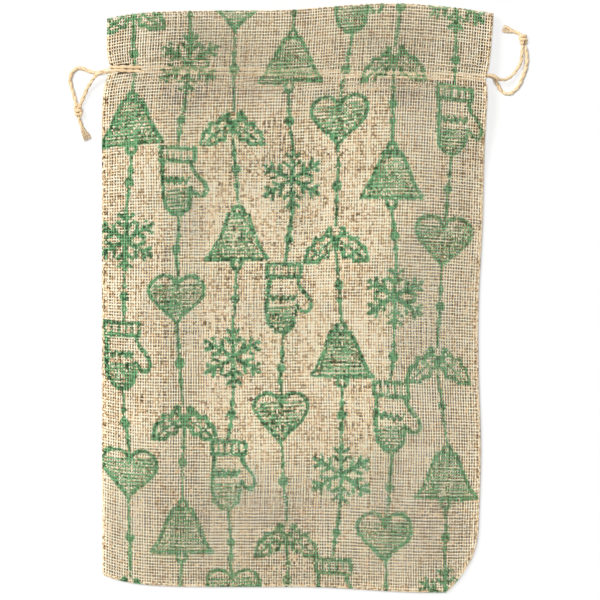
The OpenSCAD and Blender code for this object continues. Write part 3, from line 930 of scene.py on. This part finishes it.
# Painted shade and highlight round a yarn, from one side over the top to the other side and below. Faces
# inside the sack get painted shade, as the inside of the sack lies in shade.
SHADE_AND_HIGHLIGHT_OUT, PAINTED_SHADE_IN = (-0.05, 0.06, -0.05, -1.2), (-1.3, -1.3, -1.3, 0.0)


def spaced(first, pitch, count):
    return first + pitch * np.arange(count)


def panel_columns(skirt):
    face = spaced(-HALF_W + WARP_PITCH / 2, WARP_PITCH, WARPS)
    turned = spaced(HALF_W + EDGE_FIRST, EDGE_PITCH, round(skirt / EDGE_PITCH))
    inside = spaced(turned[-1] + WARP_PITCH, WARP_PITCH, SIDE_INSIDE)
    edge = np.concatenate([turned, inside])
    return np.concatenate([-edge[::-1], face, edge])


def panel_rows():
    face = spaced(WEFT_PITCH / 2, WEFT_PITCH, WEFTS)
    turned = spaced(-EDGE_FIRST, -EDGE_PITCH, 3)
    inside = spaced(turned[-1] - WEFT_PITCH, -WEFT_PITCH, BOTTOM_INSIDE)
    return np.concatenate([inside[::-1], turned[::-1], face, [SACK_L + FOLD / 2]])


def open_edge(c, r):
    """1 where the cloth is open and pale: at its right, mouth and bottom, and in a band near the left."""
    band = 0.6 * hump((c + 57) / 13)
    return np.minimum(1, ease((c - 30) / 45) + 0.8 * ease((r - 240) / 30) + ease((95 - r) / 70) + band)


def pale_edge(c):
    """The close, light strip along the left edge."""
    return ease((-c - 68) / 16)


def folded_edge(c, r):
    return np.minimum(1, ease((from_middle(c, r) - HALF_W + 3.2) / 2.4) + ease((2.6 - r) / 2.2))


def openness(c, r):
    """Yarn width by place."""
    return (1.0 - 0.39 * open_edge(c, r) + 0.12 * noise(61, c / 26, r / 38) + 0.08 * noise(62, c / 9, r / 12)
            + 0.4 * folded_edge(c, r))


def opened_row(c, r):
    """The weft rows part along the cord line, where the casing is drawn up."""
    x, y = cloth_xy(np.clip(c / HALF_W, -1, 1), np.clip(r / SACK_L, 0, 1))
    s = above_cord(x, y) + 2.7
    where = ease((x + 72) / 8) * ease((96 - x) / 6) * (0.75 + 0.5 * noise(63, c / 7))
    return 0.55 * np.sign(s) * np.exp(-np.abs(s) / 2.6) * where


def crossings(columns, rows, seed):
    """Flat places where the yarns cross, with their drift, and 1 where the warp is on top or -1 where not."""
    i, j = np.meshgrid(np.arange(len(columns)), np.arange(len(rows)), indexing="ij")
    c, r = np.broadcast_arrays(columns[:, None], rows[None, :])
    drift_c = (0.17 * noise(seed, i * 3.7, j / 13) + 0.5 * noise(seed + 1, c / 34, r / 80)
               + 0.09 * lattice(seed + 14, i, j))
    drift_r = (0.15 * noise(seed + 2, i / 15, j * 3.7) + 0.45 * noise(seed + 3, c / 70, r / 28)
               + opened_row(c, r) + 0.13 * lattice(seed + 15, i, j))
    on_face = (np.abs(c) < HALF_W) & (r > 0) & (r < SACK_L)
    return c + drift_c * on_face, r + drift_r * on_face, 1.0 - 2.0 * ((i + j) % 2)


def midpoints(a):
    """The rings of a yarn: its crossings and the points half-way between them."""
    out = np.empty((a.shape[0], 2 * a.shape[1] - 1))
    out[:, ::2] = a
    out[:, 1::2] = (a[:, 1:] + a[:, :-1]) / 2
    return out


def slubs(seed, yarn, step):
    """Thick and thin places along the yarns, as shares of their width."""
    thick = np.maximum(0, noise(seed + 8, yarn * 5.3, step / 16) - 0.72)
    return (1 + 0.18 * noise(seed + 5, yarn * 5.3, step / 7) + 0.2 * noise(seed + 6, yarn, step)
            + 0.14 * lattice(seed + 7, yarn, yarn * 0) + 0.5 * thick)


def yarn_tone(seed, yarn, step, lift, c, r):
    """Tone of each ring: by yarn, along it and by its place on the cloth, with painted shade where it sinks
    in the weave and on the folded edges.
    """
    return (YARN_TONE + 0.16 * lattice(seed + 9, yarn, yarn * 0 + 3)
            + 0.15 * noise(seed + 10, yarn * 5.3, step / 9) + 0.68 * noise(seed + 11, yarn, step)
            - 0.18 * (1 - lift / CRIMP)
            + 0.3 * open_edge(c, r) + 0.07 * pale_edge(c) - 0.4 * folded_edge(c, r))


def yarn_ink(seed, yarn, step, depth, c, r, top_is_outside):
    """Print on each ring's points, outside only. It misses spots, and takes less on low places and sides."""
    spot = lattice(seed + 12, yarn, np.floor(step * 2 + 0.5) + yarn * 0)
    patchy = 0.25 * spot + 1.2 * (spot > MISSED)
    ink = ink_at(c, r) + (SUNK_INK * depth + patchy)[..., None] + np.array([SIDE_INK, 0, SIDE_INK])
    bare = np.full(ink.shape[:2], NO_INK)
    top, below = (ink[..., 1], bare) if top_is_outside else (bare, ink[..., 1])
    return np.stack([ink[..., 0], top, ink[..., 2], below], axis=2)


def yarn_rings(surface, c, r, lift, half_w, half_t):
    """Rings of four points along each yarn."""
    e = 0.15
    p = surface(c, r)
    normal = unit(np.cross(surface(c + e, r) - surface(c - e, r), surface(c, r + e) - surface(c, r - e)))
    sideways = unit(np.cross(normal, np.gradient(p, axis=1)))
    middle = p + normal * lift[..., None]
    b, n = sideways * half_w[..., None], normal * half_t[..., None]
    return np.stack([middle + b, middle + n, middle - b, middle - n], axis=2)


def weave(surface, columns, rows, valid, seed, printed, full, shade, fine=False):
    """Both yarn sets of a panel. valid says where there is cloth, full how full its yarns are, and shade the
    painted shade and highlight that change the tone round them."""
    cross_c, cross_r, over = crossings(columns, rows, seed)
    outside = np.sign(shade[1] - shade[3])
    sets = {}
    ways = (("warp", np.array, 1, WEFT_PITCH), ("weft", np.transpose, -1, WARP_PITCH))
    for name, order, sign, pitch in ways:
        c, r, lift = order(cross_c), order(cross_r), sign * CRIMP * order(over)
        if fine:
            c, r, lift = midpoints(c), midpoints(r), midpoints(lift)
        yarn = np.broadcast_to(np.arange(c.shape[0])[:, None], c.shape)
        step = np.arange(c.shape[1])[None] / (2 if fine else 1)
        slub = slubs(seed, yarn, step)
        cloth = valid(c, r, surface(c, r))
        ends = cloth & ~(np.pad(cloth, ((0, 0), (1, 0)))[:, :-1] & np.pad(cloth, ((0, 0), (0, 1)))[:, 1:])
        half_w = 0.5 * YARN_W * full * slub * (openness(c, r) if fine else 1) * np.where(ends, END_W, 1)
        half_t = 0.5 * YARN_T * np.sqrt(slub) * np.where(ends, END_T, 1)
        # Painted shade and highlight round each ring, from the shade tuple.
        tone = yarn_tone(seed, yarn, step, lift, c, r)[..., None] + np.array(shade)
        # Painted shade on both sides of each yarn.
        values = {"tone": tone + np.array([-1, 0, -1, 0]) * PAINTED_SIDE_SHADE[name]}
        if printed:
            across = np.stack([half_w, half_w * 0, -half_w], axis=2)
            flat_c, flat_r = c[..., None], r[..., None]
            flat = (flat_c - across, flat_r) if name == "warp" else (flat_c, flat_r + across)
            values["ink"] = yarn_ink(seed, yarn, step, 1 - outside * lift / CRIMP, *flat, outside > 0)
        rings = yarn_rings(surface, c, r, lift, half_w, half_t)
        made = tubes(rings, values, step * pitch + yarn * 3.3, cloth[:, :-1] & cloth[:, 1:])
        sets[name] = {**made, "c": c, "r": r}
    return sets


def cord_place(place):
    """How far places lie above the cord line, and where along it."""
    return above_cord(place[..., 0], place[..., 1]), along_cord(place[..., 0], place[..., 1])


def panel_cloth(skirt):
    """Where a panel has cloth: its face, turned edges and allowances, which stop short of the corners."""
    def valid(c, r, place):
        s, _ = cord_place(place)
        side, low = from_middle(c, r) - HALF_W, -r
        inside = (side > skirt + 0.2) & ((r < 10) | (r > HEM_V * SACK_L) | ((c > 0) & (r < CORNER_CUT_L)))
        inside |= (low > BOTTOM_SKIRT + 0.2) & (side > -10)
        corner = (side > 0) & (low > 0)
        gap = (side > 0.3) & (np.abs(s) < CHANNEL_HALF)
        return ~(inside | corner | gap)
    return valid


def front_cloth(c, r, place):
    s, x = cord_place(place)
    slit = (np.abs(s) < SLIT_HALF) & (x < SLIT_L - HALF_W)
    return panel_cloth(SKIRT)(c, r, place) & ~slit


def flap_cloth(c, r, place):
    s, x = cord_place(place)
    return (s > -HEM_LIP) & (np.abs(x) < FLAP_HALF) & (np.abs(c) < HALF_W) & (r < SACK_L + 0.2)


flap_rows = spaced(SACK_L - WEFT_PITCH * (FLAP_WEFTS - 0.5), WEFT_PITCH, FLAP_WEFTS)
flap_rows = np.concatenate([flap_rows, [SACK_L + 0.1]])
flap_columns = spaced(-HALF_W + WARP_PITCH / 2, WARP_PITCH, WARPS)
front_weave = weave(front_face, panel_columns(SKIRT), panel_rows(), front_cloth, 300, True, 1.0, SHADE_AND_HIGHLIGHT_OUT,
                    fine=True)
back_weave = weave(back_face, panel_columns(SKIRT / 2), panel_rows(), panel_cloth(SKIRT / 2), 400, True, 1.04,
                   PAINTED_SHADE_IN)
front_flap = weave(flap_of(front_face, -1), flap_columns, flap_rows, flap_cloth, 500, False, 1.02, PAINTED_SHADE_IN)
back_flap = weave(flap_of(back_face, 1), flap_columns, flap_rows, flap_cloth, 600, False, 1.02, SHADE_AND_HIGHLIGHT_OUT)


# Each half of the cloth is built as its own objects, in upright strips, with their transforms baked in.

HALVES = (("left", -1), ("right", 1))


def gather(obj):
    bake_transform(obj)
    return obj


def cloth_pieces(label, sets, cuts, material, slot, cad_node):
    """An object per upright strip of each half, from both yarn sets. cuts are distances from the middle."""
    limits = [0.0, *cuts, 1000.0]
    for half, side in HALVES:
        for k, (low, high) in enumerate(zip(limits[:-1], limits[1:])):
            groups, extent = [], []
            for name, yarns in sets.items():
                c = side * (yarns["c"][:, 1:] + yarns["c"][:, :-1]) / 2
                r = (yarns["r"][:, 1:] + yarns["r"][:, :-1]) / 2
                if name == "warp":
                    c = np.broadcast_to(side * np.median(yarns["c"], axis=1)[:, None], c.shape)
                keep = yarns["keep"] & (c >= low) & (c < high)
                groups.append({**yarns, "keep": keep})
                extent.append((np.ptp(c[keep]), np.ptp(r[keep])))
            obj = tube_mesh(f"{label}_{half}_{k}", *groups)
            dress(obj, material, slot, cad_node)
            gather(obj)


cloth_pieces("front", front_weave, (26.0, 52.0, 78.0), printed_jute, "printed_jute", "front_panel")
cloth_pieces("back", back_weave, (54.0,), printed_jute, "plain_jute", "back_panel")
cloth_pieces("front_casing", front_flap, (), plain_jute, "plain_jute", "front_casing")
cloth_pieces("back_casing", back_flap, (), plain_jute, "plain_jute", "back_casing")


# Sewing

HEM_PITCH, HEM_STITCH_L, SEAM_PITCH, SEAM_STITCH_L = 3.6, 2.7, 3.8, 2.9
HEM_ROW = CHANNEL_HALF + CHANNEL_FLANK + HEM_STITCH_OUT / 2
HEM_LIFT, BACK_HEM_LIFT, SEAM_LIFT = 0.2, -0.1, 0.25
HEM_SINK, BACK_HEM_Z = 0.12, 0.42
SEAM_Z = (BACK_RIM_Z + FRONT_RIM_Z) / 2 + 0.4


def stitches(name, starts, ends, lift, cad_node, side, seed):
    """Stitches of thread: each rises out of the cloth and goes back into it."""
    t = np.linspace(0, 1, 7)
    line = starts[:, None] + (ends - starts)[:, None] * t[None, :, None]
    line[..., 2] += lift * np.sin(pi * t)
    radius = THREAD_D / 2 * (0.75 + 0.25 * np.sin(pi * t))
    rings = np.array([tube_rings(path, radius, 6) for path in line])
    fibre = np.linalg.norm(ends - starts, axis=1)[:, None] * t[None]
    tone = 0.5 + 0.3 * lattice(seed, np.arange(len(line)), np.zeros(len(line)))
    obj = tube_mesh(name, tubes(rings, {"tone": tone[:, None, None]}, fibre))
    dress(obj, thread_fibre, "thread", cad_node)
    return gather(obj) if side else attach(obj, "sack")


def casing_surface(surface, x, s):
    """Place on a layer at x along the cord line and s above it, by searching the flat cloth."""
    target = np.array([casing_point(a, s, 0) for a in x])[:, :2]
    flat = np.stack([target[:, 0], target[:, 1] - BOTTOM_LINE], axis=1)
    for _ in range(12):
        flat += target - surface(flat[:, 0], flat[:, 1])[:, :2]
    return surface(flat[:, 0], flat[:, 1])


for label, surface, lift in (("front", front_face, HEM_LIFT), ("back", back_face, BACK_HEM_LIFT)):
    for half, side in HALVES:
        x = side * np.arange(2.0, FLAP_HALF - 4, HEM_PITCH)
        starts, ends = (np.vstack([casing_surface(surface, x + shift, s) for s in (-HEM_ROW, HEM_ROW)])
                        for shift in (0, side * HEM_STITCH_L))
        for line in (starts, ends):
            line[:, 2] = line[:, 2] + (CLOTH_T / 2 - HEM_SINK) if label == "front" else BACK_HEM_Z
        stitches(f"{label}_hem_thread_{half}", starts, ends, lift, f"{label}_hem_stitching", side, 700)


def seam_line(u, v, inward):
    x, y = cloth_xy(np.minimum(u, 1 - corner_cut(v * SACK_L) / HALF_W), v)
    return np.stack([x, y, np.full(np.shape(x), SEAM_Z)], axis=-1) + inward


for half, side in HALVES:
    v = np.arange(0.03, HEM_V, SEAM_PITCH / SACK_L)
    u = np.full(v.shape, float(side))
    inward = (-side * SEAM_STITCH_IN, 0, 0)
    starts, ends = (seam_line(u, at, inward) for at in (v, v + SEAM_STITCH_L / SACK_L))
    stitches(f"{half}_seam_thread", starts, ends, SEAM_LIFT, f"{half}_seam_stitching", side, 710)
u = np.arange(-0.95, 0.8, SEAM_PITCH / HALF_W)
starts, ends = (seam_line(at, 0 * u, (0, SEAM_STITCH_IN, 0)) for at in (u, u + SEAM_STITCH_L / HALF_W))
stitches("bottom_seam_thread", starts, ends, SEAM_LIFT, "bottom_seam_stitching", 0, 720)
